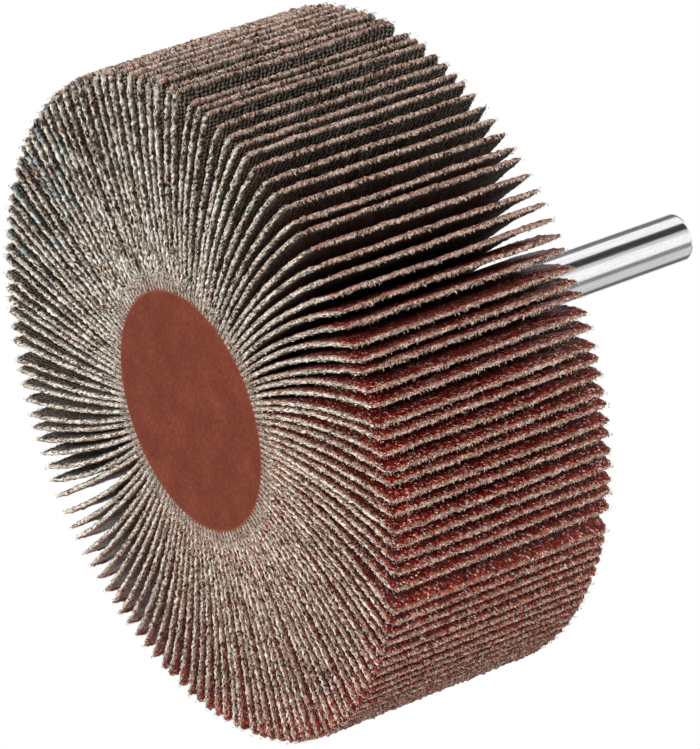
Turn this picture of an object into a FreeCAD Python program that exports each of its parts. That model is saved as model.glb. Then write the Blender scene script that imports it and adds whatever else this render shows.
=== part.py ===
import FreeCAD, Part
import math
import os

import Sketcher

# A flap wheel on a steel shank: abrasive cloth flaps cast by their roots into a round resin core.
# Millimetres. The wheel stands on its front face, z = 0, and the shank points up, along +Z.
# Places round the wheel are clock angles, in degrees from -Y (12 o'clock) towards +X (3 o'clock).

SIZES = {
    "wheel_diameter": 80.0,
    "wheel_width": 30.0,
    "core_diameter": 28.8,
    "root_depth": 0.8,
    "flap_thickness": 0.62,
    "resin_gap": 0.065,
    "lean_mean_deg": 3.6,
    "lean_side_deg": 1.3,
    "lean_corner_deg": 1.3,
    "lean_ripple_deg": 0.3,
    "split_clock_deg": 118.0,
    "split_lean_deg": 3.2,
    "split_fade_deg": 14.0,
    "fan_clock_deg": 251.0,
    "fan_lean_deg": 0.9,
    "fan_fade_deg": 9.0,
    "shank_diameter": 6.0,
    "shank_reach": 41.0,
    "shank_depth": 26.0,
    "shank_round": 0.9,
    "knurl_length": 14.0,
    "knurl_depth": 0.3,
    "neck_length": 2.0,
    "neck_depth": 0.3,
}
FLAP_NODE_COUNT = 44
FLAT_COUNT = 5
GROOVE_COUNT = 12
RIPPLE_TURNS = (2.39, 4.11)

# Radii from the wheel's axis: the roots' inner ends, where the roots leave the resin, and the tips.
ROOT = "Sizes.core_diameter / 2"
SEAT = "Sizes.core_diameter / 2 + Sizes.root_depth"
RIM = "Sizes.wheel_diameter / 2"
# Radius of a flap's middle line: straight at its seat, and its outer tip corner on the rim.
BEND = (
    f"(({RIM})^2 + ({SEAT})^2 - 2 * ({RIM}) * ({SEAT}) * cos(Lean) - Sizes.flap_thickness^2 / 4)"
    f" / (2 * ({RIM}) * sin(Lean) + Sizes.flap_thickness)"
)
SHANK_FOOT = "(Sizes.wheel_width - Sizes.shank_depth)"
UP = FreeCAD.Vector(0, 0, 1)

doc = FreeCAD.newDocument("flap_wheel")
sheet = doc.addObject("Spreadsheet::Sheet", "Sizes")
rule = Sketcher.Constraint


def fill_sheet():
    """The driving sizes, one to a row: each name stands beside the cell that it names."""
    for row, (name, value) in enumerate(SIZES.items(), 1):
        sheet.set(f"A{row}", name)
        sheet.set(f"B{row}", str(value))
        sheet.setAlias(f"B{row}", name)
    doc.recompute()


def value_of(expression, thing=sheet):
    return float(thing.evalExpression(expression))


def at_angle(radius, degrees, centre=FreeCAD.Vector()):
    angle = math.radians(degrees)
    return centre + FreeCAD.Vector(radius * math.cos(angle), radius * math.sin(angle), 0)


def size_sketch(sketch, *measures):
    """Add the sketch's dimensions, each a constraint and the expression that sets its value."""
    for constraint, expression in measures:
        place = sketch.addConstraint(rule(*constraint, value_of(expression, sketch)))
        sketch.setExpression(f"Constraints[{place}]", expression)


def lean_rule(clock, index):
    """How far a flap's tip stands ahead of its root, in degrees, at one clock angle.

    It is a mean, two slow waves round the wheel, two places where the flaps part and then close
    up again behind the gap, and a ripple that sets each flap a little apart from the next.
    """
    terms = [
        "Sizes.lean_mean_deg",
        f"Sizes.lean_side_deg * sin({clock})",
        f"Sizes.lean_corner_deg * sin({2 * clock})",
    ]
    for gap in ("split", "fan"):
        past = f"mod({clock} - Sizes.{gap}_clock_deg + 360; 360)"
        terms.append(f"Sizes.{gap}_lean_deg * exp(-{past} / Sizes.{gap}_fade_deg)")
    wave = sum(math.sin(turn * index) for turn in RIPPLE_TURNS) / len(RIPPLE_TURNS)
    terms.append(f"Sizes.lean_ripple_deg * {wave:.4f}")
    return " + ".join(terms)


def flap_count():
    """As many flaps as stand side by side round the core."""
    pitch = value_of("Sizes.flap_thickness + Sizes.resin_gap")
    return int(math.pi * value_of("Sizes.core_diameter") / pitch)


def add_bent_side(sketch, arc, start, end):
    """One face of a flap's bend: equal flats whose corners all lie on a construction arc."""
    centre, radius = sketch.Geometry[arc].Center, sketch.Geometry[arc].Radius
    step = (end - start) / FLAT_COUNT
    corners = [at_angle(radius, start + step * i, centre) for i in range(FLAT_COUNT + 1)]
    flats = sketch.addGeometry([Part.LineSegment(*pair) for pair in zip(corners, corners[1:])])
    joints = [rule("Coincident", flats[0], 1, arc, 1), rule("Coincident", flats[-1], 2, arc, 2)]
    for near, far in zip(flats, flats[1:]):
        joints.append(rule("Coincident", near, 2, far, 1))
        joints.append(rule("PointOnObject", far, 1, arc))
        joints.append(rule("Equal", flats[0], far))
    sketch.addConstraint(joints)


def add_flap(index, count):
    """One flap: a straight root in the resin, then a bend with a square-cut tip, as wide as the wheel."""
    clock = round(360.0 * index / count, 6)
    sketch = doc.addObject("Sketcher::SketchObject", f"flap_outline_{index + 1}")
    sketch.addProperty("App::PropertyFloat", "Lean")
    sketch.setExpression("Lean", lean_rule(clock, index))
    sketch.Lean = value_of(lean_rule(clock, index))

    half = value_of("Sizes.flap_thickness") / 2
    root, seat, bend = value_of(ROOT), value_of(SEAT), value_of(BEND, sketch)
    centre = FreeCAD.Vector(seat, bend, 0)
    outer_tip = at_angle(value_of(RIM), sketch.Lean)
    inward = (centre - outer_tip).normalize()
    inner_tip = outer_tip + inward * 2 * half
    sweep = math.degrees(math.atan2(-inward.y, -inward.x))
    low_root, high_root = FreeCAD.Vector(root, -half, 0), FreeCAD.Vector(root, half, 0)
    low_seat, high_seat = FreeCAD.Vector(seat, -half, 0), FreeCAD.Vector(seat, half, 0)

    end, low, tip, high = sketch.addGeometry([
        Part.LineSegment(high_root, low_root),
        Part.LineSegment(low_root, low_seat),
        Part.LineSegment(outer_tip, inner_tip),
        Part.LineSegment(high_seat, high_root),
    ])
    outer, inner = sketch.addGeometry([
        Part.ArcOfCircle(Part.Circle(centre, UP, radius), math.radians(-90), math.radians(sweep))
        for radius in (bend + half, bend - half)
    ], True)
    sketch.addConstraint([
        rule("Coincident", end, 2, low, 1),
        rule("Tangent", low, 2, outer, 1),
        rule("Coincident", outer, 2, tip, 1),
        rule("Coincident", tip, 2, inner, 2),
        rule("Coincident", inner, 1, high, 1),
        rule("Coincident", high, 2, end, 1),
        rule("Horizontal", low),
        rule("Horizontal", high),
        rule("Symmetric", end, 1, end, 2, -1),
        rule("Coincident", outer, 3, inner, 3),
        rule("Vertical", low, 2, high, 1),
        rule("PointOnObject", outer, 3, tip),
    ])
    for arc in (outer, inner):
        add_bent_side(sketch, arc, -90, sweep)
    size_sketch(
        sketch,
        (("DistanceX", -1, 1, end, 1), ROOT),
        (("DistanceX", -1, 1, low, 2), SEAT),
        (("Distance", end, 1, end, 2), "Sizes.flap_thickness"),
        (("Radius", outer), f"{BEND} + Sizes.flap_thickness / 2"),
        (("Distance", -1, 1, tip, 1), RIM),
    )
    sketch.Placement = FreeCAD.Placement(FreeCAD.Vector(), UP, clock - 90)

    flap = doc.addObject("Part::Extrusion", f"flap_{index + 1}")
    flap.Base = sketch
    flap.DirMode = "Normal"
    flap.Solid = True
    flap.setExpression("LengthFwd", "Sizes.wheel_width")
    return flap


def add_flaps(count):
    """All flaps, each its own solid, with neighbours shared out evenly among nodes round the wheel."""
    flaps = [add_flap(index, count) for index in range(count)]
    ends = [count * place // FLAP_NODE_COUNT for place in range(FLAP_NODE_COUNT + 1)]
    nodes = []
    for number, (start, end) in enumerate(zip(ends, ends[1:]), 1):
        node = doc.addObject("Part::Compound", f"flaps_{number:02d}")
        node.Links = flaps[start:end]
        nodes.append(node)
    return nodes


def origin_part(body, role):
    return next(part for part in body.Origin.OriginFeatures if part.Role == role)


def add_flat_sketch(body, name, height):
    """A sketch of the body, parallel to its XY plane, at a height that follows the sheet."""
    sketch = body.newObject("Sketcher::SketchObject", name)
    sketch.AttachmentSupport = (origin_part(body, "XY_Plane"), [""])
    sketch.MapMode = "FlatFace"
    sketch.setExpression("AttachmentOffset.Base.z", height)
    return sketch


def add_shank():
    """The steel shank: turned and rounded at its free end, with a knurl and a neck for the resin to grip.

    The knurl stops the shank from turning in the resin, and the neck, just under the wheel's
    back face, stops it from being pulled out.
    """
    body = doc.addObject("PartDesign::Body", "shank")
    section = add_flat_sketch(body, "shank_section", SHANK_FOOT)
    section.addGeometry(Part.Circle(FreeCAD.Vector(), UP, value_of("Sizes.shank_diameter / 2")))
    section.addConstraint(rule("Coincident", 0, 3, -1, 1))
    size_sketch(section, (("Diameter", 0), "Sizes.shank_diameter"))
    bar = body.newObject("PartDesign::Pad", "shank_bar")
    bar.Profile = section
    bar.setExpression("Length", "Sizes.shank_depth + Sizes.shank_reach")
    doc.recompute()

    edges = bar.Shape.Edges
    top = max(range(len(edges)), key=lambda place: edges[place].BoundBox.ZMin)
    rounded = body.newObject("PartDesign::Fillet", "shank_end")
    rounded.Base = (bar, [f"Edge{top + 1}"])
    rounded.setExpression("Radius", "Sizes.shank_round")

    ring = add_flat_sketch(body, "neck_ring", "Sizes.wheel_width")
    ring_rules = (
        "Sizes.shank_diameter - 2 * Sizes.neck_depth",
        "Sizes.shank_diameter + 2 * Sizes.neck_depth",
    )
    for place, diameter in enumerate(ring_rules):
        ring.addGeometry(Part.Circle(FreeCAD.Vector(), UP, value_of(diameter) / 2))
        ring.addConstraint(rule("Coincident", place, 3, -1, 1))
        size_sketch(ring, (("Diameter", place), diameter))
    neck = body.newObject("PartDesign::Pocket", "neck")
    neck.Profile = ring
    neck.setExpression("Length", "Sizes.neck_length")
    doc.recompute()

    groove = add_flat_sketch(body, "knurl_groove", f"{SHANK_FOOT} + Sizes.knurl_length")
    valley = "Sizes.shank_diameter / 2 - Sizes.knurl_depth"
    mouth = "Sizes.shank_diameter / 2 + Sizes.knurl_depth"
    depth = value_of(f"{mouth} - ({valley})")
    point = FreeCAD.Vector(value_of(valley), 0, 0)
    corners = [point, point + FreeCAD.Vector(depth, -depth, 0), point + FreeCAD.Vector(depth, depth, 0)]
    groove.addGeometry([Part.LineSegment(corners[i - 1], corners[i]) for i in range(len(corners))])
    groove.addConstraint([
        rule("Coincident", 0, 2, 1, 1),
        rule("Coincident", 1, 2, 2, 1),
        rule("Coincident", 2, 2, 0, 1),
        rule("Symmetric", 2, 1, 2, 2, -1),
        rule("PointOnObject", 0, 2, -1),
        rule("Perpendicular", 0, 1),
    ])
    size_sketch(groove, (("DistanceX", -1, 1, 0, 2), valley), (("DistanceX", -1, 1, 2, 1), mouth))
    cut = body.newObject("PartDesign::Pocket", "knurl_cut")
    cut.Profile = groove
    cut.Type = "ThroughAll"
    doc.recompute()

    knurl = body.newObject("PartDesign::PolarPattern", "knurl")
    knurl.Originals = [cut]
    knurl.Axis = (origin_part(body, "Z_Axis"), [""])
    knurl.Angle = 360
    knurl.Occurrences = GROOVE_COUNT
    body.Tip = knurl
    return body


def add_core(count, shank):
    """The resin core: a slot for each flap's root, a thin fin of resin between, and the shank's seat."""
    half, root, seat = value_of("Sizes.flap_thickness") / 2, value_of(ROOT), value_of(SEAT)
    slot = [(seat, -half), (root, -half), (root, half), (seat, half)]
    outline = doc.addObject("Part::Polygon", "core_outline")
    outline.Nodes = [
        FreeCAD.Rotation(UP, 360.0 * index / count - 90).multVec(FreeCAD.Vector(x, y, 0))
        for index in range(count)
        for x, y in slot
    ]
    outline.Close = True
    blank = doc.addObject("Part::Extrusion", "core_blank")
    blank.Base = outline
    blank.DirMode = "Custom"
    blank.Dir = UP
    blank.Solid = True
    blank.setExpression("LengthFwd", "Sizes.wheel_width")
    core = doc.addObject("Part::Cut", "resin_core")
    core.Base = blank
    core.Tool = shank
    return core


def check(parts):
    """Stop on any object that failed, and on a part that isn't made of whole closed solids."""
    for thing in doc.Objects:
        if {"Invalid", "Error"} & set(thing.State):
            raise RuntimeError(f"{thing.Name} failed: {thing.State}")
    for part in parts:
        shape = part.Shape
        if shape.isNull() or not shape.isValid() or not shape.Solids:
            raise RuntimeError(f"{part.Label} isn't a valid solid")


def main():
    fill_sheet()
    count = flap_count()
    flap_nodes = add_flaps(count)
    shank = add_shank()
    core = add_core(count, shank)
    doc.recompute()
    parts = [core, shank] + flap_nodes
    check(parts)
    os.makedirs("parts", exist_ok=True)
    for part in parts:
        part.Shape.exportStep(f"parts/{part.Label}.step")
    print(len(parts), "nodes,", sum(len(part.Shape.Solids) for part in parts), "solids")
    print("core", round(core.Shape.Volume, 1), "mm3, shank", round(shank.Shape.Volume, 1), "mm3")


main()
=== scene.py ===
import math

import bpy
import numpy as np
from mathutils import Matrix, Vector


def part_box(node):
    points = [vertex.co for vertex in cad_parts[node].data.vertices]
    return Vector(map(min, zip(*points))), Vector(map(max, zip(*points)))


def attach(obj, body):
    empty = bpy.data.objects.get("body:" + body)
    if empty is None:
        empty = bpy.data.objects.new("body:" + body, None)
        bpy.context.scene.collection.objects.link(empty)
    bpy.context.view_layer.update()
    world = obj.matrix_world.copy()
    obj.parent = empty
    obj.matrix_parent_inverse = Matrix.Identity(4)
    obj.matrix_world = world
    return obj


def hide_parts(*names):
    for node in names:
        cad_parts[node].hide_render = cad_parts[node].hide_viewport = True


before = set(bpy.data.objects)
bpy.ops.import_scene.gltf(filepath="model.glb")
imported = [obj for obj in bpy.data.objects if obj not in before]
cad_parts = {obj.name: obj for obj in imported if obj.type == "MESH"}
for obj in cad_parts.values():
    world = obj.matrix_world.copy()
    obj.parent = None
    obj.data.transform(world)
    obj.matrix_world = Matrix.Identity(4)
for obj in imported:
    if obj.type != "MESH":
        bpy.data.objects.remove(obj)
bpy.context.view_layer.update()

# Shank: a pin of bright drawn steel, turned round at its free end and knurled at its foot.
# The resin is cast round the foot and the neck, and only the upper 41 mm stands out of the wheel.
MM = 0.001
SHANK_RADIUS = 3.0
SHANK_ROUND = 0.9
KNURL_LENGTH, KNURL_DEPTH, KNURL_GROOVES = 14.0, 0.3, 12
NECK_LENGTH, NECK_DEPTH = 2.0, 0.3
SHANK_SIDES = 192
SHANK_ROUND_STEPS = 10
SHARP_CORNER = math.radians(38)
STEEL_PALE, STEEL_GREY = (252, 252, 253), (232, 233, 236)
STEEL_ROUGHNESS, STEEL_STREAK_ROUGHNESS = 0.07, 0.2


def linear(tone):
    """A colour written as 0 to 255 display values, as the shader's linear light."""
    share = np.array(tone, float) / 255
    light = np.where(share > 0.04045, ((share + 0.055) / 1.055) ** 2.4, share / 12.92)
    return (*light, 1.0)


def add_shader(tree, kind, settings=None, **inputs):
    """A shader node with its settings, and its inputs by name: a value, or a socket to link."""
    shader = tree.nodes.new("ShaderNode" + kind)
    for name, value in (settings or {}).items():
        setattr(shader, name, value)
    for name, value in inputs.items():
        socket = shader.inputs[name.replace("_", " ")]
        if isinstance(value, bpy.types.NodeSocket):
            tree.links.new(value, socket)
        else:
            socket.default_value = value
    return shader


def add_math(tree, operation, first, second=0.0, third=0.0):
    """One sum on two or three numbers or sockets."""
    shader = tree.nodes.new("ShaderNodeMath")
    shader.operation = operation
    for socket, value in zip(shader.inputs, (first, second, third)):
        if isinstance(value, bpy.types.NodeSocket):
            tree.links.new(value, socket)
        else:
            socket.default_value = value
    return shader.outputs[0]


def add_ramp(tree, factor, *stops):
    """A colour that changes with factor: each stop is a place and a colour of 0 to 255 values."""
    ramp = tree.nodes.new("ShaderNodeValToRGB")
    tree.links.new(factor, ramp.inputs[0])
    elements = ramp.color_ramp.elements
    while len(elements) < len(stops):
        elements.new(1.0)
    for element, (place, tone) in zip(elements, stops):
        element.position = place
        element.color = linear(tone)
    return ramp.outputs[0]


def add_mix(tree, factor, first, second, blend="MIX"):
    """Two colours or colour sockets mixed by factor."""
    mix = tree.nodes.new("ShaderNodeMix")
    mix.data_type = "RGBA"
    mix.blend_type = blend
    for place, value in ((0, factor), (6, first), (7, second)):
        if isinstance(value, bpy.types.NodeSocket):
            tree.links.new(value, mix.inputs[place])
        else:
            mix.inputs[place].default_value = value
    return mix.outputs[2]


def new_material(name):
    """An empty material: its node tree and its output."""
    material = bpy.data.materials.new(name)
    material.use_nodes = True
    material.node_tree.nodes.clear()
    output = material.node_tree.nodes.new("ShaderNodeOutputMaterial")
    return material, material.node_tree, output.inputs["Surface"]


def new_piece(name, points, polygons, materials, slots=None, attributes=None):
    """A closed mesh object at the origin: points in mm, and index arrays, one row to a face. Slots
    holds each face's material, and attributes one number or vector for each point."""
    mesh = bpy.data.meshes.new(name)
    mesh.vertices.add(len(points))
    mesh.vertices.foreach_set("co", (np.asarray(points) * MM).astype(np.float32).ravel())
    sizes = np.concatenate([np.full(len(rows), rows.shape[1]) for rows in polygons])
    mesh.loops.add(int(sizes.sum()))
    mesh.loops.foreach_set("vertex_index", np.concatenate([rows.ravel() for rows in polygons]))
    mesh.polygons.add(len(sizes))
    mesh.polygons.foreach_set("loop_start", np.cumsum(sizes) - sizes)
    for material in materials:
        mesh.materials.append(material)
    if slots is not None:
        mesh.polygons.foreach_set("material_index", slots)
    for title, values in (attributes or {}).items():
        kind, field = ("FLOAT_VECTOR", "vector") if values.ndim == 2 else ("FLOAT", "value")
        layer = mesh.attributes.new(title, kind, "POINT")
        layer.data.foreach_set(field, values.astype(np.float32).ravel())
    mesh.update(calc_edges=True)
    mesh.polygons.foreach_set("use_smooth", np.ones(len(sizes), bool))
    mesh.set_sharp_from_angle(angle=SHARP_CORNER)
    piece = bpy.data.objects.new(name, mesh)
    bpy.context.scene.collection.objects.link(piece)
    return piece


def shank_rows(foot, top, face):
    """The pin's outline from foot to end: rows of height, radius and share of knurl.

    The neck is a step in and a step out, and the end is a quarter circle of SHANK_ROUND.
    """
    knurl_top, neck_foot = foot + KNURL_LENGTH, face - NECK_LENGTH
    neck = SHANK_RADIUS - NECK_DEPTH
    turn = np.linspace(0, math.pi / 2, SHANK_ROUND_STEPS)
    rounded = np.stack([
        top - SHANK_ROUND + SHANK_ROUND * np.sin(turn),
        SHANK_RADIUS - SHANK_ROUND + SHANK_ROUND * np.cos(turn),
        np.zeros_like(turn),
    ], axis=1)
    straight = np.array([
        (foot, SHANK_RADIUS, 1), (knurl_top, SHANK_RADIUS, 1), (knurl_top, SHANK_RADIUS, 0),
        (neck_foot, SHANK_RADIUS, 0), (neck_foot, neck, 0), (face, neck, 0), (face, SHANK_RADIUS, 0),
    ])
    return np.concatenate([straight, rounded])


def shank_surface(rows):
    """The outline turned about Z. In a knurled row a 90 degree groove cuts the circle: at an angle a
    from its middle the wall lies at (radius - depth) / (cos a - |sin a|), where that is less."""
    angle = np.arange(SHANK_SIDES) * 2 * math.pi / SHANK_SIDES
    pitch = 2 * math.pi / KNURL_GROOVES
    near = (angle + pitch / 2) % pitch - pitch / 2
    height, radius, knurled = (rows[:, [i]] for i in range(3))
    groove = (radius - KNURL_DEPTH) / (np.cos(near) - np.abs(np.sin(near)))
    wall = np.where((knurled > 0) & (groove > 0) & (groove < radius), groove, radius)
    grid = np.stack([wall * np.cos(angle), wall * np.sin(angle), height + 0 * wall], axis=2)
    poles = np.array([(0, 0, rows[0, 0]), (0, 0, rows[-1, 0])])
    points = np.concatenate([grid.reshape(-1, 3), poles])

    place = np.arange(len(rows) * SHANK_SIDES).reshape(len(rows), SHANK_SIDES)
    beside = np.roll(place, -1, axis=1)
    walls = np.stack([place[:-1], beside[:-1], beside[1:], place[1:]], axis=2).reshape(-1, 4)
    foot_pole = np.full(SHANK_SIDES, len(points) - 2)
    top_pole = np.full(SHANK_SIDES, len(points) - 1)
    ends = np.concatenate([
        np.stack([foot_pole, beside[0], place[0]], axis=1),
        np.stack([top_pole, place[-1], beside[-1]], axis=1),
    ])
    return points, [walls, ends]


def steel_material():
    """Bright drawn steel: faint streaks along the pin, in its tone, gloss and relief."""
    material, tree, surface = new_material("bright_drawn_steel")
    place = add_shader(tree, "TexCoord").outputs["Object"]
    drawn = add_shader(tree, "Mapping", Vector=place, Scale=(9000, 9000, 240))
    streaks = add_shader(tree, "TexNoise", Vector=drawn.outputs[0], Scale=1.0, Detail=3.0)
    specks = add_shader(tree, "TexNoise", Vector=place, Scale=5200.0, Detail=2.0)
    both = add_mix(tree, 0.4, streaks.outputs[0], specks.outputs[0])
    tone = add_ramp(tree, both, (0.35, STEEL_GREY), (0.6, STEEL_PALE))
    gloss = add_math(tree, "MULTIPLY_ADD", both, STEEL_STREAK_ROUGHNESS, STEEL_ROUGHNESS)
    relief = add_shader(tree, "Bump", Strength=0.07, Distance=0.00003, Height=both)
    metal = add_shader(tree, "BsdfPrincipled", Base_Color=tone, Metallic=1.0, Roughness=gloss,
                       Normal=relief.outputs[0])
    tree.links.new(metal.outputs[0], surface)
    return material


shank_foot, shank_top = (corner.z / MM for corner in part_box("shank"))
wheel_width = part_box("resin_core")[1].z / MM
shank_points, shank_faces = shank_surface(shank_rows(shank_foot, shank_top, wheel_width))
shank = new_piece("steel_shank", shank_points, shank_faces, [steel_material()])
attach(shank, "root")
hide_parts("shank")

# Core: one casting of filled red-brown resin, poured round the shank in the middle of the flaps.
# Its faces are plain and matt, with faint clouds of filler, and it fills the gaps between the roots.
CORE_RADIUS = 14.4
CORE_RIM, CORE_RIM_BLUR = 0.14, 0.1
CORE_TONES = (85, 36, 23), (98, 44, 28), (113, 55, 37)
CORE_RIM_TONE = (122, 66, 48)
CORE_FIN_TONE = (84, 54, 42)


def add_fade(tree, value, start, end, first=0.0, last=1.0):
    """A number that goes from first to last as value goes from start to end, and is held outside."""
    fade = add_shader(tree, "MapRange", Value=value, From_Min=start, From_Max=end, To_Min=first, To_Max=last)
    return fade.outputs[0]


def resin_material():
    """Matt resin: slow clouds and fine filler in the tone, and a fine orange-peel relief. A paler
    rim runs round the disc, and outside it the fins between the roots are duller."""
    material, tree, surface = new_material("red_brown_resin")
    place = add_shader(tree, "TexCoord").outputs["Object"]
    clouds = add_shader(tree, "TexNoise", Vector=place, Scale=230.0, Detail=4.0)
    filler = add_shader(tree, "TexNoise", Vector=place, Scale=1900.0, Detail=2.0)
    both = add_mix(tree, 0.5, clouds.outputs[0], filler.outputs[0])
    tone = add_ramp(tree, both, *zip((0.36, 0.5, 0.64), CORE_TONES))
    flat = add_shader(tree, "VectorMath", {"operation": "MULTIPLY"})
    tree.links.new(place, flat.inputs[0])
    flat.inputs[1].default_value = (1, 1, 0)
    radius = add_shader(tree, "VectorMath", {"operation": "LENGTH"}, Vector=flat.outputs[0])
    rim, past_rim = CORE_RADIUS - CORE_RIM, CORE_RADIUS + CORE_RIM_BLUR
    for end, band_tone in (rim, CORE_RIM_TONE), (past_rim, CORE_FIN_TONE):
        past = add_fade(tree, radius.outputs["Value"], (end - CORE_RIM_BLUR) * MM, end * MM)
        tone = add_mix(tree, past, tone, linear(band_tone))
    relief = add_shader(tree, "Bump", Strength=0.25, Distance=0.00006, Height=both)
    resin = add_shader(tree, "BsdfPrincipled", Base_Color=tone, Roughness=0.62, Normal=relief.outputs[0])
    resin.inputs["Specular IOR Level"].default_value = 0.15
    tree.links.new(resin.outputs[0], surface)
    return material


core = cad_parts["resin_core"]
core.data.materials.clear()
core.data.materials.append(resin_material())

# Flaps: rectangles of cotton cloth with red-brown abrasive grain bonded to one face, guillotined to
# size, stood side by side and cast into the core by their roots. Each leans and bends the same way,
# and its three free edges are frayed. They stay in groups of three neighbours, as in the solids.
FLAP_GROUPS = 44
FLAPS_IN_GROUP = 3
FLAP_THICKNESS = 0.62
ROOT_DEPTH = 0.8
SEAT_RADIUS = CORE_RADIUS + ROOT_DEPTH
FLAP_PITCH = 2 * math.pi / (FLAP_GROUPS * FLAPS_IN_GROUP)
RIM_TOLERANCE = 0.01
EDGE_STATIONS = 292
SPINE_STATION = 56
# A flap's grid has nine columns from spine to spine, over the cut. For each: its way in from the cut,
# where 1 is the spine, its depth, where -1 is the grain face and 1 the backing, and how far it stands
# proud. The slots are those of the strips between them: grain 0, cut 1, backing 2.
FACE_INSET, FACE_CRUST = 0.05, 0.3
COLUMN_INSETS = np.array([1, FACE_INSET, 0, 0, 0, 0, 0, FACE_INSET, 1])
COLUMN_DEPTHS = np.array([-1, -1, -0.97, -0.55, -0.02, 0.5, 1, 1, 1])
COLUMN_PROUD = np.array([0, 0, -0.22, 0.0, 0.05, -0.03, -0.42, 0, 0])
COLUMN_SLOTS = [0, 0, 0, 1, 1, 1, 2, 2]
CORNER_WEAR, CORNER_REACH = 0.3, 1.0
TIP_THINNING, CORNER_THINNING, CORNER_THIN_REACH = 0.12, 0.5, 3.0
FRAY_START, CRUST_START = 0.6, 8.0
YARN_SET, YARN_JAG, CUT_JAG, GRIT_JAG, LINT_JAG = (-1, 0.5), 0.12, 0.07, 0.06, 0.03
WANDER, WANDER_BLUR = 0.028, (0.3, 0.5, 0.3)
BOW_HEIGHT, TIP_SHIFT, WAVE_HEIGHT, CREASE_HEIGHT = 0.14, 0.2, 0.05, 0.02
WAVE_TURNS, CREASE_TURNS = (0.4, 1.6), (1.1, 0.7, 0.9, 1.6)
TIP_LINT_COUNT, SIDE_LINT_COUNT, ROOT_LINT_COUNT = 330, 200, 150
LINT_LENGTH, LINT_WIDTH, LINT_SINK = (0.12, 0.33), (0.045, 0.08), 0.05
LINT_SCATTER, LINT_FLATTENING = 0.2, (-0.5, 0.0)
LINT_SIDEWAYS, LINT_ROOTWARD, LINT_REARWARD, LINT_OVER = 0.8, 0.5, 0.25, (-0.3, 1)
LINT_LEAST, LINT_GROWTH = 0.55, 10.0
LINT_CORNER_REACH, LINT_CORNER_LEAST = 1.2, 0.35
SIDE_LINT_START, ROOT_LINT_REACH, ROOT_LINT_CROWDING = 0.5, 2.2, 1.6
ROOT_LINT_FADE, ROOT_LINT_SPREAD = 1.6, 0.12
PATTERN_STEP, CUT_PATTERN_STEP = 3.7, 7.3
SIDE_FIBRES, TIP_FIBRES = (1.9, 6.4, 1), (5.4, 2.2, 1)
# Shares of painted shade where the cut rolls over towards the backing, on the side cuts and at the tip.
SIDE_ROLL_SHADE, TIP_ROLL_SHADE = 0.86, 0.7
SIDE_RESIN, TIP_RESIN, LINT_RESIN = 0.35, 1.0, 0.2
CLOTH_TONE, LINT_TONE = (0.42, 0.6), (0.25, 1.0)
SOAK_REACH, SOAK_SHARE = 1.7, 0.8
GRAIN_SCALE = (3.8, 5.0, 1.0)
GRAIN_STOPS = (0.0, 0.27, 0.6, 0.87, 0.96)
# The last grain tone, on the rarest cells, is a painted highlight.
GRAIN_TONES_AND_HIGHLIGHTS = (34, 5, 3), (98, 13, 8), (150, 30, 19), (210, 92, 72), (255, 224, 208)
GRAIN_DUST = (196, 166, 142)
COTTON_STOPS = (0.37, 0.455, 0.53, 0.64)
# The darkest cotton tone is painted shade in the pits between fibre ends.
COTTON_TONES_AND_PIT_SHADE = (32, 24, 18), (128, 121, 108), (206, 202, 190), (250, 248, 242)
COTTON_STAINS = (255, 241, 235), (255, 254, 249), (243, 251, 251)
COTTON_TIP_TINT = (252, 234, 230)
COTTON_RESIN = (174, 132, 114)
# Colour of the painted shade where the cut rolls over towards the backing.
COTTON_SHADE = (36, 21, 16)
COTTON_PINK = (247, 213, 201)
COTTON_RED = (128, 48, 38)
# Painted shade of the narrow gaps between flaps: its colour, its share, the width it fades over, and where
# along the flap it starts and ends.
GAP_SHADE, GAP_SHADE_SHARE, GAP_SHADE_WIDTH = (26, 13, 9), 0.72, 2.4
GAP_SHADE_FOOT, GAP_SHADE_TIP = (0.5, 4.0), (19.0, 24.0)
ROOT_RESIN = (128, 92, 78)
BACK_FUZZ_SCALE = (2.6, 3.4, 1.0)
# The darkest backing tone is painted shade in the weave's hollows.
BACK_TONES_AND_HOLLOW_SHADE = (20, 17, 13), (60, 57, 48), (158, 152, 139)
BACK_INK = (196, 222, 240)
INKED_FLAPS, INKED_LENGTH, INK_DEPTH, INK_REACH = (111, 115, 118, 119, 121, 123), (13, 25), -0.1, 6.0
FLAP_SEED = 20


def rim_angles(node):
    """Where the flaps of one node touch the rim: the angles of its outer tip corners, in order."""
    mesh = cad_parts[node].data
    flat = np.zeros(len(mesh.vertices) * 3, np.float32)
    mesh.vertices.foreach_get("co", flat)
    points = flat.reshape(-1, 3) / MM
    reach = np.hypot(points[:, 0], points[:, 1])
    rim = points[reach > wheel_radius - RIM_TOLERANCE]
    middle = rim.mean(axis=0)
    turned = np.arctan2(rim[:, 1], rim[:, 0]) - math.atan2(middle[1], middle[0])
    turned = (turned + math.pi) % (2 * math.pi) - math.pi
    return np.unique(np.round(turned, 5)) + math.atan2(middle[1], middle[0])


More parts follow.
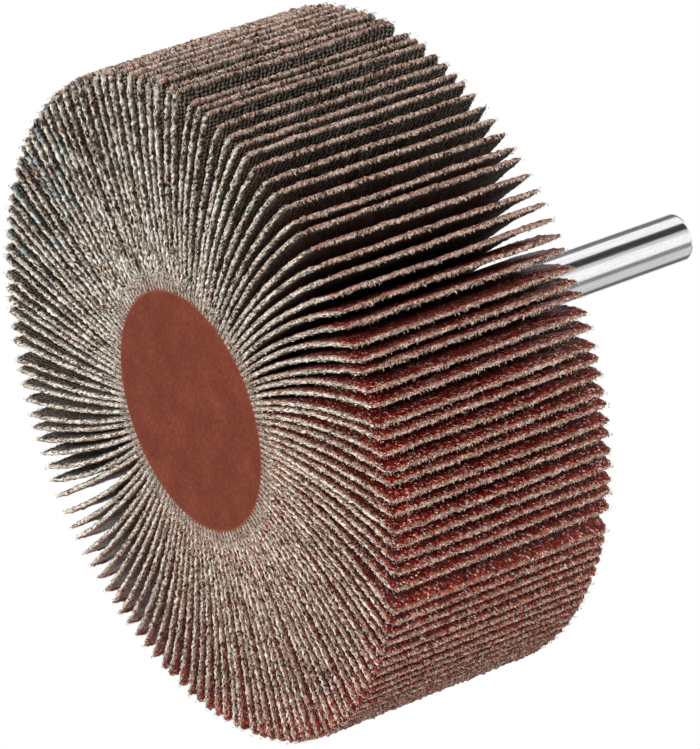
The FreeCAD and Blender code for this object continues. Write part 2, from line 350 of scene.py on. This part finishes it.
def flap_faces():
    """The faces of one flap. Its points are a grid of edge stations by nine columns: from the middle
    of the grain face, over the cut edge, to the middle of the backing. Both middles are a spine that
    the front and the rear half share, and where it ends the tip's stations fan out from its last point.
    """
    station = np.arange(EDGE_STATIONS)
    spine = np.minimum(np.minimum(station, EDGE_STATIONS - 1 - station), SPINE_STATION)
    inner = len(COLUMN_INSETS) - 2
    index = np.empty((EDGE_STATIONS, inner + 2), int)
    index[:, 1:-1] = np.arange(EDGE_STATIONS * inner).reshape(-1, inner)
    index[:, 0] = EDGE_STATIONS * inner + spine
    index[:, -1] = index[:, 0] + SPINE_STATION + 1
    quads = np.stack([index[:-1, :-1], index[:-1, 1:], index[1:, 1:], index[1:, :-1]], axis=2)
    fan = spine[:-1] == spine[1:]
    whole = np.concatenate([quads[:, 1:-1].reshape(-1, 4), quads[~fan, 0], quads[~fan, -1]])
    strip = np.concatenate([
        np.tile(COLUMN_SLOTS[1:-1], EDGE_STATIONS - 1),
        np.full((~fan).sum(), COLUMN_SLOTS[0]),
        np.full((~fan).sum(), COLUMN_SLOTS[-1]),
    ])
    fans = np.concatenate([quads[fan, 0][:, [0, 1, 2]], quads[fan, -1][:, [0, 1, 3]]])
    fan_strip = np.repeat([COLUMN_SLOTS[0], COLUMN_SLOTS[-1]], fan.sum())
    root_end = np.concatenate([index[0, ::-1], index[-1, 1:-1]])[None, :]
    return [whole, fans, root_end], np.concatenate([strip, fan_strip, [1]])


def edge_place(path, length):
    """Places on the path round the three cut edges, from the front root by the tip to the rear root.
    Along is length - max(0, |path - middle| - half width), across is path - front, held to the width,
    outward is the way out of the cloth, rearward is -1 on the front half and 1 on the rear half, and
    to_corner is how far the nearer tip corner lies along the path."""
    front = length + ROOT_DEPTH
    beyond = np.abs(path - front - wheel_width / 2) - wheel_width / 2
    along = length - np.maximum(0, beyond)
    across = np.clip(path - front, 0, wheel_width)
    rearward = np.sign(across - wheel_width / 2)
    outward = np.stack([beyond <= 0, rearward * (beyond > 0), np.zeros(len(path))], axis=1)
    to_corner = np.minimum(np.abs(path - front), np.abs(path - front - wheel_width))
    return along, across, outward, rearward, to_corner


def flap_grid(length, dice):
    """Where one flap's points lie in the flat cloth: along it from its seat, across the wheel's width,
    and through its thickness. Each station's row runs in from the cut edge to the spine. The yarns
    set whole stations in or out, the cut sets each point, and grit and lint thicken the two faces.
    The cloth thins with the square of along, and towards the two tip corners, which are worn round.
    """
    path = np.linspace(0, 2 * (length + ROOT_DEPTH) + wheel_width, EDGE_STATIONS)
    along, across, outward, rearward, to_corner = edge_place(path, length)
    station = np.arange(EDGE_STATIONS)
    spine = np.minimum(np.minimum(station, station[::-1]), SPINE_STATION)
    shape = (EDGE_STATIONS, len(COLUMN_INSETS))

    free = np.clip(along / FRAY_START, 0, 1)
    yarn = dice.uniform(*YARN_SET, EDGE_STATIONS) * YARN_JAG * free
    cut = dice.normal(0, CUT_JAG, shape) * (COLUMN_INSETS == 0) * free[:, None]
    push = yarn[:, None] * (COLUMN_INSETS < 1) + cut + COLUMN_PROUD
    worn = CORNER_WEAR * np.maximum(0, 1 - to_corner / CORNER_REACH) ** 2
    wear = worn[:, None] * (1 - COLUMN_INSETS)
    inset_along = along[:, None] + COLUMN_INSETS * (along[spine] - along)[:, None]
    inset_across = across[:, None] + COLUMN_INSETS * (wheel_width / 2 - across)[:, None]
    grid_along = inset_along + outward[:, :1] * push - wear
    grid_across = inset_across + outward[:, 1:2] * push - wear * rearward[:, None]

    thin = 1 - TIP_THINNING * np.clip(along / length, 0, 1) ** 2
    thin -= CORNER_THINNING * np.maximum(0, 1 - to_corner / CORNER_THIN_REACH) ** 1.5
    thin = 1 + (thin[:, None] - 1) * (COLUMN_INSETS < 1)
    side = np.sign(COLUMN_DEPTHS) * np.where(COLUMN_INSETS == 0, 1, FACE_CRUST) * (COLUMN_INSETS < 1)
    crust = np.abs(dice.normal(0, 1, shape)) * np.where(side < 0, GRIT_JAG, LINT_JAG) * side
    room = np.clip(along / CRUST_START, 0, 1)[:, None]
    wander = np.convolve(dice.normal(0, WANDER, EDGE_STATIONS), WANDER_BLUR, "same")[:, None]
    uneven = crust + wander * (COLUMN_INSETS == 0)
    grid_depth = COLUMN_DEPTHS * FLAP_THICKNESS / 2 * thin + uneven * room
    return np.stack([grid_along, grid_across, grid_depth], axis=2)


def gather_flap(grid):
    """The grid's columns as one list of points, with each spine point once."""
    ends = grid[:SPINE_STATION + 1]
    return np.concatenate([grid[:, 1:-1].reshape(-1, grid.shape[2]), ends[:, 0], ends[:, -1]])


def add_lint(root, aim, reach, width, dice):
    """Cotton lint as slim spikes: a base triangle round each root and a point, all as whole arrays."""
    aim = aim / np.linalg.norm(aim, axis=1, keepdims=True)
    side = np.cross(aim, dice.normal(size=aim.shape))
    side /= np.linalg.norm(side, axis=1, keepdims=True)
    third = np.cross(aim, side)
    turn = np.arange(3) * 2 * math.pi / 3
    ring = np.cos(turn)[None, :, None] * side[:, None] + np.sin(turn)[None, :, None] * third[:, None]
    base = root[:, None] + ring * width[:, None, None] - aim[:, None] * width[:, None, None]
    tip = root + aim * reach[:, None]
    points = np.concatenate([base, tip[:, None]], axis=1).reshape(-1, 3)
    corner = np.arange(len(root))[:, None, None] * 4
    spike = np.array([(0, 2, 1), (0, 1, 3), (1, 2, 3), (2, 0, 3)])
    return points, (corner + spike).reshape(-1, 3)


def edge_lint(length, dice):
    """Cotton lint of one flap: over the tip it leans to the backing side, down the front and the rear
    it lies along the cut, and by the core it is short, dense and points at the core. It grows from
    LINT_LEAST at the seat to full length, and is short again at the tip corners. Returns each
    spike's root, aim, length and width, and its place on the path round the cut."""
    front = length + ROOT_DEPTH
    total = 2 * front + wheel_width
    crowded = dice.uniform(0, 1, ROOT_LINT_COUNT) ** ROOT_LINT_CROWDING
    near = ROOT_DEPTH / 4 + crowded * ROOT_LINT_REACH
    down = dice.uniform(ROOT_DEPTH + SIDE_LINT_START, front, SIDE_LINT_COUNT)
    path = np.concatenate([
        front + dice.uniform(0, wheel_width, TIP_LINT_COUNT),
        np.where(np.arange(SIDE_LINT_COUNT) % 2, down, total - down),
        np.where(np.arange(ROOT_LINT_COUNT) % 3, near, total - near),
    ])
    count = len(path)
    along, across, outward, _, to_corner = edge_place(path, length)
    depth = dice.uniform(-0.8, 1, count) * FLAP_THICKNESS / 2
    by_root = np.clip(1 - along / ROOT_LINT_FADE, 0, 1)
    depth = depth + by_root * dice.normal(0, ROOT_LINT_SPREAD, count)
    root = np.stack([along, across, depth], axis=1) - outward * LINT_SINK
    tipward = outward[:, 0]
    over = np.clip(depth / FLAP_THICKNESS * 2 + 0.15, *LINT_OVER)
    aim = dice.normal(0, LINT_SCATTER, (count, 3)) + outward * dice.uniform(*LINT_FLATTENING, (count, 1))
    sideways = dice.choice([-LINT_SIDEWAYS, LINT_SIDEWAYS], count)
    aim[:, 0] += (1 - tipward) * sideways * (1 - by_root) - LINT_ROOTWARD * by_root
    aim[:, 1] += LINT_REARWARD * tipward
    aim[:, 2] += over * (0.2 + 0.8 * tipward)
    reach = dice.uniform(*LINT_LENGTH, count) * np.clip(LINT_LEAST + along / LINT_GROWTH, LINT_LEAST, 1)
    reach = reach * np.clip(to_corner / LINT_CORNER_REACH, LINT_CORNER_LEAST, 1)
    return (root, aim, reach, dice.uniform(*LINT_WIDTH, count)), path


def bend_radius(lean):
    """Radius of the middle line's arc, which leaves the seat radially and puts the outer tip corner on
    the rim: (chord squared - (thickness / 2) squared) / (2 wheel radius sin lean + thickness)."""
    chord = wheel_radius ** 2 + SEAT_RADIUS ** 2 - 2 * wheel_radius * SEAT_RADIUS * math.cos(lean)
    return (chord - FLAP_THICKNESS ** 2 / 4) / (2 * wheel_radius * math.sin(lean) + FLAP_THICKNESS)


def flap_length(lean):
    """The arc from the seat to the tip along the middle line."""
    bend = bend_radius(lean)
    across, along = bend - wheel_radius * math.sin(lean), wheel_radius * math.cos(lean) - SEAT_RADIUS
    return bend * math.atan2(along, across)


def bend_flap(cloth, lean, length, azimuth, dice):
    """Bends flat cloth points to their place in the wheel. The root is straight and radial, and from
    the seat outwards the middle line is an arc. Each flap also bows as a half sine, sets its tip over
    with the square of along, waves across its width, and creases by three slow sines.
    """
    along, across, depth = cloth.T
    bend = bend_radius(lean)
    share = np.clip(along / length, 0, 1.02)
    bow, shift, wave = dice.normal(0, 1, 3)
    phase = dice.uniform(0, 2 * math.pi, 4)
    turns = dice.uniform(*WAVE_TURNS)
    depth = depth + BOW_HEIGHT * bow * np.sin(math.pi * share) + TIP_SHIFT * shift * share ** 2
    waving = np.sin(turns * 2 * math.pi * across / wheel_width + phase[0])
    depth = depth + WAVE_HEIGHT * wave * share ** 2 * waving
    inward, slant_in, slant_across, sideways = CREASE_TURNS
    crease = np.sin(along * inward + phase[1]) + np.sin(along * slant_in + across * slant_across + phase[2])
    depth = depth + CREASE_HEIGHT * share * (crease + np.sin(across * sideways + phase[3]))
    turn = np.maximum(along, 0) / bend
    x = SEAT_RADIUS + np.where(along > 0, (bend - depth) * np.sin(turn), along)
    y = np.where(along > 0, bend - (bend - depth) * np.cos(turn), depth)
    east, north = math.cos(azimuth), math.sin(azimuth)
    return np.stack([x * east - y * north, x * north + y * east, across], axis=1)


def ink_share(along, across, depth, flap):
    """How blue a point is: only over the outer length of the inked flaps, in smudges that come and go
    with a sine of along, and fading with the distance from the front edge."""
    start, end = INKED_LENGTH
    inked = (along > start) & (along < end) & (depth > INK_DEPTH) & (flap in INKED_FLAPS)
    smudges = np.clip(0.5 + np.sin(along * 1.3 + flap * 2.1) * 0.6, 0, 0.8)
    return inked * smudges * np.exp(-across / INK_REACH)


def flap_fields(flap, flat, path, is_cloth, length, dice):
    """What the flap materials read at each point: its place in the flat cloth, its place on the cut
    (path and depth) plain and stretched to the fibres, how much it belongs to the tip's cut, how much
    resin and painted rolled-over shade it takes, the gap to the nearest cut edge, a slow random tone,
    how far root resin has soaked in, and ink. A step for each flap keeps neighbours' patterns apart."""
    along, across, depth = flat.T
    at_tip = np.abs(path - length - ROOT_DEPTH - wheel_width / 2) < wheel_width / 2
    cut_place = np.stack([path, depth, np.full(len(path), flap * CUT_PATTERN_STEP)], axis=1)
    to_edge = np.minimum(np.minimum(across, wheel_width - across), length - along)
    slow = dice.uniform(*CLOTH_TONE) + 0.08 * np.sin(across * 0.7 + along * 0.9 + flap)
    lint_tone = np.repeat(dice.uniform(*LINT_TONE, (~is_cloth).sum() // 4), 4)
    return {
        "cloth_place": np.stack([along, across, depth + flap * PATTERN_STEP], axis=1),
        "cut_place": cut_place,
        "fibre_place": cut_place * np.where(at_tip[:, None], TIP_FIBRES, SIDE_FIBRES),
        "tip_share": at_tip,
        "resin_share": np.where(at_tip, TIP_RESIN, SIDE_RESIN) * np.where(is_cloth, 1, LINT_RESIN),
        "roll_shade_share": np.where(at_tip, TIP_ROLL_SHADE, SIDE_ROLL_SHADE) * is_cloth,
        "edge_gap": np.maximum(to_edge, 0),
        "tone": np.concatenate([slow[is_cloth], lint_tone]),
        "root_soak": np.clip(1 - along / SOAK_REACH, 0, 1) * SOAK_SHARE,
        "ink": ink_share(along, across, depth, flap),
    }


def build_flap(flap, rim_angle, dice):
    """One flap and its lint: its points, faces, material slots, and fields."""
    azimuth = flap * FLAP_PITCH - math.pi / 2
    lean = (rim_angle - azimuth + math.pi) % (2 * math.pi) - math.pi
    length = flap_length(lean)
    grid = flap_grid(length, dice)
    cloth = gather_flap(grid)
    spikes, lint_path = edge_lint(length, dice)
    lint, lint_faces = add_lint(*spikes, dice)
    flat = np.concatenate([cloth, lint])
    points = bend_flap(flat, lean, length, azimuth, dice)
    faces, slots = flap_faces()
    faces = faces + [lint_faces + len(cloth)]
    slots = np.concatenate([slots, np.ones(len(lint_faces), int)])

    stations = np.linspace(0, 2 * (length + ROOT_DEPTH) + wheel_width, EDGE_STATIONS)
    cloth_path = gather_flap(np.broadcast_to(stations[:, None, None], grid.shape[:2] + (1,)))[:, 0]
    path = np.concatenate([cloth_path, np.repeat(lint_path, 4)])
    is_cloth = np.arange(len(flat)) < len(cloth)
    return points, faces, slots, flap_fields(flap, flat, path, is_cloth, length, dice)


def cloth_field(tree, name, output="Fac"):
    """One of the fields that flap_fields works out."""
    return add_shader(tree, "Attribute", {"attribute_name": name}).outputs[output]


def add_gap_shade(tree, place, cloth):
    """Painted shade of the narrow gaps between flaps: along both side cuts, fading over
    GAP_SHADE_WIDTH, and short of the root and the tip."""
    along, across = add_shader(tree, "SeparateXYZ", Vector=place).outputs[:2]
    from_rear = add_math(tree, "SUBTRACT", wheel_width, across)
    from_side = add_math(tree, "MINIMUM", across, from_rear)
    near_side = add_fade(tree, from_side, 0.0, GAP_SHADE_WIDTH, GAP_SHADE_SHARE, 0.0)
    before_tip = add_fade(tree, along, *GAP_SHADE_TIP, 1.0, 0.0)
    past_foot = add_fade(tree, along, *GAP_SHADE_FOOT)
    between = add_math(tree, "MULTIPLY", before_tip, past_foot)
    return add_mix(tree, add_math(tree, "MULTIPLY", near_side, between), cloth, linear(GAP_SHADE))


def add_ink(tree, cloth):
    """The cloth's colour under a faint smudge of blue ink, where the flap is inked."""
    return add_mix(tree, cloth_field(tree, "ink"), cloth, linear(BACK_INK), "MULTIPLY")


def grain_material():
    """Abrasive grain in resin: sharp cells of many reds, the rarest near-white as painted highlights, and
    dust by the cut.
    """
    material, tree, surface = new_material("abrasive_grain")
    place = cloth_field(tree, "cloth_place", "Vector")
    grains = add_shader(tree, "Mapping", Vector=place, Scale=GRAIN_SCALE)
    cells = add_shader(tree, "TexVoronoi", Vector=grains.outputs[0], Scale=1.0, Randomness=1.0)
    pick = add_shader(tree, "SeparateColor", Color=cells.outputs["Color"]).outputs[0]
    # The rarest cells take the painted highlight tone.
    grit = add_ramp(tree, pick, *zip(GRAIN_STOPS, GRAIN_TONES_AND_HIGHLIGHTS))
    clouds = add_shader(tree, "TexNoise", Vector=place, Scale=2.6, Detail=2.0)
    patchy = add_fade(tree, clouds.outputs[0], 0.42, 0.57)
    dusty = add_fade(tree, cloth_field(tree, "edge_gap"), 0.1, 0.5, 0.88, 0.0)
    dusted = add_math(tree, "MULTIPLY", dusty, patchy)
    # The gaps' painted shade goes under the dust by the cut.
    shown = add_mix(tree, dusted, add_gap_shade(tree, place, grit), linear(GRAIN_DUST))
    shown = add_mix(tree, cloth_field(tree, "root_soak"), shown, linear(ROOT_RESIN))
    hills = add_math(tree, "SUBTRACT", pick, cells.outputs["Distance"])
    relief = add_shader(tree, "Bump", Strength=1.0, Distance=0.00022, Height=hills)
    coat = add_shader(tree, "BsdfPrincipled", Base_Color=shown, Roughness=0.36, Normal=relief.outputs[0])
    coat.inputs["Specular IOR Level"].default_value = 0.5
    tree.links.new(coat.outputs[0], surface)
    return material


def cotton_material():
    """Cut cotton: pale fibre ends with dark pits of painted shade between them, drawn out along
    the side cuts and across the tip's, with warm and cool stains. Next to the grain the cut shows
    brown resin with pink and red crumbs, and towards the backing, where it rolls over, it takes
    painted shade."""
    material, tree, surface = new_material("cut_cotton_edge")
    place = cloth_field(tree, "cloth_place", "Vector")
    cut = cloth_field(tree, "cut_place", "Vector")
    fibres = cloth_field(tree, "fibre_place", "Vector")
    yarns = add_shader(tree, "TexNoise", Vector=fibres, Scale=1.0, Detail=1.5, Roughness=0.5)
    mixed = add_mix(tree, 0.3, yarns.outputs[0], cloth_field(tree, "tone"))
    # Low yarn noise, where the relief is lowest, gives the pits their painted shade.
    cotton = add_ramp(tree, mixed, *zip(COTTON_STOPS, COTTON_TONES_AND_PIT_SHADE))
    stains = add_shader(tree, "TexNoise", Vector=place, Scale=0.9, Detail=2.0)
    stain = add_ramp(tree, stains.outputs[0], *zip((0.36, 0.5, 0.64), COTTON_STAINS))
    cotton = add_mix(tree, 1.0, cotton, stain, "MULTIPLY")
    tip_cut = cloth_field(tree, "tip_share")
    cotton = add_mix(tree, tip_cut, cotton, linear(COTTON_TIP_TINT), "MULTIPLY")

    crumbs = add_shader(tree, "TexVoronoi", Vector=cut, Scale=5.6, Randomness=1.0)
    pick = add_shader(tree, "SeparateColor", Color=crumbs.outputs["Color"]).outputs[0]
    crumb_tone = add_ramp(tree, pick, (0.2, COTTON_RED), (0.36, COTTON_RESIN), (0.66, COTTON_RESIN),
                          (0.84, COTTON_PINK))
    depth = add_shader(tree, "SeparateXYZ", Vector=cut).outputs[1]
    ragged = add_math(tree, "MULTIPLY_ADD", yarns.outputs[0], -0.5, depth)
    near_grain = add_fade(tree, ragged, -0.4, -0.19, 1.0, 0.0)
    resin = add_math(tree, "MULTIPLY", near_grain, cloth_field(tree, "resin_share"))
    shown = add_mix(tree, resin, cotton, crumb_tone)
    # Painted shade over the last of the cut's depth, where it rolls over towards the backing.
    near_back = add_fade(tree, depth, 0.1, 0.25)
    shaded = add_math(tree, "MULTIPLY", near_back, cloth_field(tree, "roll_shade_share"))
    shown = add_mix(tree, shaded, shown, linear(COTTON_SHADE))
    stray = add_fade(tree, pick, 0.06, 0.02, 0.0, 0.25)
    shown = add_mix(tree, stray, shown, linear(COTTON_RED))
    soaked = add_math(tree, "MULTIPLY", cloth_field(tree, "root_soak"), yarns.outputs[0])
    shown = add_mix(tree, soaked, add_ink(tree, shown), linear(ROOT_RESIN))
    relief = add_shader(tree, "Bump", Strength=1.0, Distance=0.0003, Height=mixed)
    fibre = add_shader(tree, "BsdfPrincipled", Base_Color=shown, Roughness=0.85, Normal=relief.outputs[0])
    fibre.inputs["Specular IOR Level"].default_value = 0.2
    tree.links.new(fibre.outputs[0], surface)
    return material


def backing_material():
    """Woven backing: uneven ribs of warp yarn that run from root to tip, crossed by finer weft.
    Its darkest tone, in the weave's hollows, is painted shade.
    """
    material, tree, surface = new_material("cloth_backing")
    place = cloth_field(tree, "cloth_place", "Vector")
    warp = add_shader(tree, "TexWave", {"bands_direction": "Y"}, Vector=place, Scale=0.56, Distortion=5.0,
                      Detail=2.0, Detail_Scale=1.8)
    weft = add_shader(tree, "TexWave", {"bands_direction": "X"}, Vector=place, Scale=0.62, Distortion=5.0,
                      Detail=2.0, Detail_Scale=1.8)
    weave = add_mix(tree, 0.42, warp.outputs[1], weft.outputs[1])
    drawn = add_shader(tree, "Mapping", Vector=place, Scale=BACK_FUZZ_SCALE)
    fuzz = add_shader(tree, "TexNoise", Vector=drawn.outputs[0], Scale=1.0, Detail=2.0, Roughness=0.55)
    both = add_mix(tree, 0.62, weave, fuzz.outputs[0])
    cloth = add_ramp(tree, both, *zip((0.36, 0.5, 0.64), BACK_TONES_AND_HOLLOW_SHADE))
    # Painted shade of the gaps between flaps darkens the backing.
    shown = add_gap_shade(tree, place, add_ink(tree, cloth))
    shown = add_mix(tree, cloth_field(tree, "root_soak"), shown, linear(ROOT_RESIN))
    relief = add_shader(tree, "Bump", Strength=1.0, Distance=0.00025, Height=both)
    fibre = add_shader(tree, "BsdfPrincipled", Base_Color=shown, Roughness=0.8, Normal=relief.outputs[0])
    fibre.inputs["Specular IOR Level"].default_value = 0.25
    tree.links.new(fibre.outputs[0], surface)
    return material


wheel_radius = max(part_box(f"flaps_{number:02d}")[1].x for number in range(1, FLAP_GROUPS + 1)) / MM
flap_materials = [grain_material(), cotton_material(), backing_material()]
flap_dice = np.random.default_rng(FLAP_SEED)

for number in range(1, FLAP_GROUPS + 1):
    node = f"flaps_{number:02d}"
    points, faces, slots, fields = [], [], [], []
    for order, rim_angle in enumerate(rim_angles(node)):
        flap = (number - 1) * FLAPS_IN_GROUP + order
        flap_points, flap_rows, flap_slots, one_flap = build_flap(flap, rim_angle, flap_dice)
        start = sum(len(earlier) for earlier in points)
        points.append(flap_points)
        faces += [rows + start for rows in flap_rows]
        slots.append(flap_slots)
        fields.append(one_flap)
    group_fields = {name: np.concatenate([one_flap[name] for one_flap in fields]) for name in fields[0]}
    piece = new_piece(f"cloth_{node}", np.concatenate(points), faces, flap_materials,
                      np.concatenate(slots), group_fields)
    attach(piece, "root")
    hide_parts(node)

# Studio: a pale floor that shows only from above, a white surround, soft lamps, and dark cards
# that only the polished shank mirrors.
FLOOR_SIZE, FLOOR_DROP = 3.0, 0.0006
FLOOR_TONES = (226, 225, 222), (232, 231, 229)
FLOOR_LIFT = 0.2
AMBIENT_LIGHT = 0.13
WHEEL_CENTRE = Vector((0, 0, wheel_width / 2 * MM))


def floor_material():
    """Pale from above, lifted a little so that it stays pale far from the lamps, and clear from
    below, so that the wheel's resting face can be seen."""
    material, tree, surface = new_material("pale_floor")
    mottle = add_shader(tree, "TexNoise", Scale=9.0, Detail=2.0)
    tone = add_ramp(tree, mottle.outputs[0], *zip((0.3, 0.7), FLOOR_TONES))
    lit = add_shader(tree, "BsdfDiffuse", Color=tone)
    glow = add_shader(tree, "Emission", Color=tone, Strength=FLOOR_LIFT)
    pale = add_shader(tree, "AddShader")
    tree.links.new(lit.outputs[0], pale.inputs[0])
    tree.links.new(glow.outputs[0], pale.inputs[1])
    clear = add_shader(tree, "BsdfTransparent")
    under = add_shader(tree, "NewGeometry").outputs["Backfacing"]
    mix = add_shader(tree, "MixShader")
    tree.links.new(under, mix.inputs[0])
    tree.links.new(pale.outputs[0], mix.inputs[1])
    tree.links.new(clear.outputs[0], mix.inputs[2])
    tree.links.new(mix.outputs[0], surface)
    return material


def add_sheet(name, middle, across, up, material):
    """A flat stage sheet: its middle, and the half vectors to its sides."""
    corners = [middle + across * i + up * j for i, j in ((-1, -1), (1, -1), (1, 1), (-1, 1))]
    mesh = bpy.data.meshes.new(name)
    mesh.from_pydata([tuple(corner) for corner in corners], [], [(0, 1, 2, 3)])
    mesh.materials.append(material)
    sheet = bpy.data.objects.new(name, mesh)
    bpy.context.scene.collection.objects.link(sheet)
    return sheet


floor = add_sheet("floor", Vector((0, 0, -FLOOR_DROP)), Vector((FLOOR_SIZE / 2, 0, 0)),
                  Vector((0, FLOOR_SIZE / 2, 0)), floor_material())
floor.visible_shadow = False
floor.visible_diffuse = False
floor.visible_glossy = False
floor.visible_transmission = False

world = bpy.data.worlds.new("white_surround")
bpy.context.scene.world = world
world.use_nodes = True
world.node_tree.nodes.clear()
path = add_shader(world.node_tree, "LightPath").outputs
shown = add_math(world.node_tree, "MAXIMUM", path["Is Camera Ray"], path["Is Glossy Ray"])
shown = add_math(world.node_tree, "MAXIMUM", shown, path["Is Transmission Ray"])
level = add_fade(world.node_tree, shown, 0.0, 1.0, AMBIENT_LIGHT, 1.0)
background = add_shader(world.node_tree, "Background", Color=(1, 1, 1, 1), Strength=level)
add_shader(world.node_tree, "OutputWorld", Surface=background.outputs[0])


def add_lamp(name, direction, distance, size, watts):
    """A square soft lamp that looks at the wheel's middle from one direction."""
    lamp = bpy.data.lights.new(name, "AREA")
    lamp.size = size
    lamp.energy = watts
    holder = bpy.data.objects.new(name, lamp)
    away = Vector(direction).normalized()
    holder.location = WHEEL_CENTRE + away * distance
    holder.rotation_euler = away.to_track_quat("Z", "Y").to_euler()
    holder.visible_camera = False
    holder.visible_glossy = False
    bpy.context.scene.collection.objects.link(holder)


add_lamp("key_lamp", (-0.4, -0.5, -0.8), 0.8, 0.25, 7.1)
add_lamp("side_lamp", (0.82, -0.4, -0.42), 0.9, 0.3, 4.9)
add_lamp("low_lamp", (0.7, 0.6, -0.4), 0.9, 0.4, 3.5)
add_lamp("top_lamp", (0.35, -0.45, 1.0), 0.9, 0.5, 2.7)
add_lamp("back_lamp", (-0.75, 0.55, 0.9), 0.9, 0.5, 5.0)


def card_material(name, grey):
    """A card that gives one plain level, of 0 to 255, to what mirrors it."""
    material, tree, surface = new_material(name)
    glow = add_shader(tree, "Emission", Color=linear((grey, grey, grey)), Strength=1.0)
    tree.links.new(glow.outputs[0], surface)
    return material


CARD_DISTANCE = 0.5
CARD_HEIGHT = 0.55
CARDS = {
    "upper_rim_card": (-158, -116, 112),
    "upper_dark_card": (-67, -31, 50),
    "upper_grey_card": (-31, -14, 208),
    "lower_grey_card": (33, 55, 128),
    "lower_pale_card": (55, 103, 208),
    "lower_rim_card": (103, 136, 100),
}
for name, (start, end, grey) in CARDS.items():
    middle = math.radians((start + end) / 2)
    half_width = CARD_DISTANCE * math.tan(math.radians(end - start) / 2)
    outward = Vector((math.cos(middle), math.sin(middle), 0))
    card = add_sheet(name, outward * CARD_DISTANCE + Vector((0, 0, CARD_HEIGHT)),
                     Vector((-outward.y, outward.x, 0)) * half_width, Vector((0, 0, CARD_HEIGHT)),
                     card_material(name, grey))
    card.visible_camera = False
    card.visible_diffuse = False
    card.visible_shadow = False
    card.visible_transmission = False

# Camera: in front of the wheel's resting face, to its right and a little above its axis. It is
# fitted to the wheel's two rims, the core's edge and the shank.
LENS = 253.5
CAMERA_PLACE = Vector((523.11, -82.70, -281.79)) * MM
CAMERA_RIGHT = Vector((0.51568788, 0.25850657, 0.81684782))
CAMERA_DOWN = Vector((-0.01478032, 0.95593888, -0.29319346))
camera = bpy.data.objects.new("camera", bpy.data.cameras.new("camera"))
camera.data.lens = LENS
camera.data.sensor_width = 36.0
camera.data.clip_start = 0.01
bpy.context.scene.collection.objects.link(camera)
back = CAMERA_RIGHT.cross(-CAMERA_DOWN)
turn = Matrix((CAMERA_RIGHT, -CAMERA_DOWN, back)).transposed()
camera.matrix_world = Matrix.Translation(CAMERA_PLACE) @ turn.to_4x4()
bpy.context.scene.camera = camera
bpy.context.scene.view_settings.view_transform = "Standard"
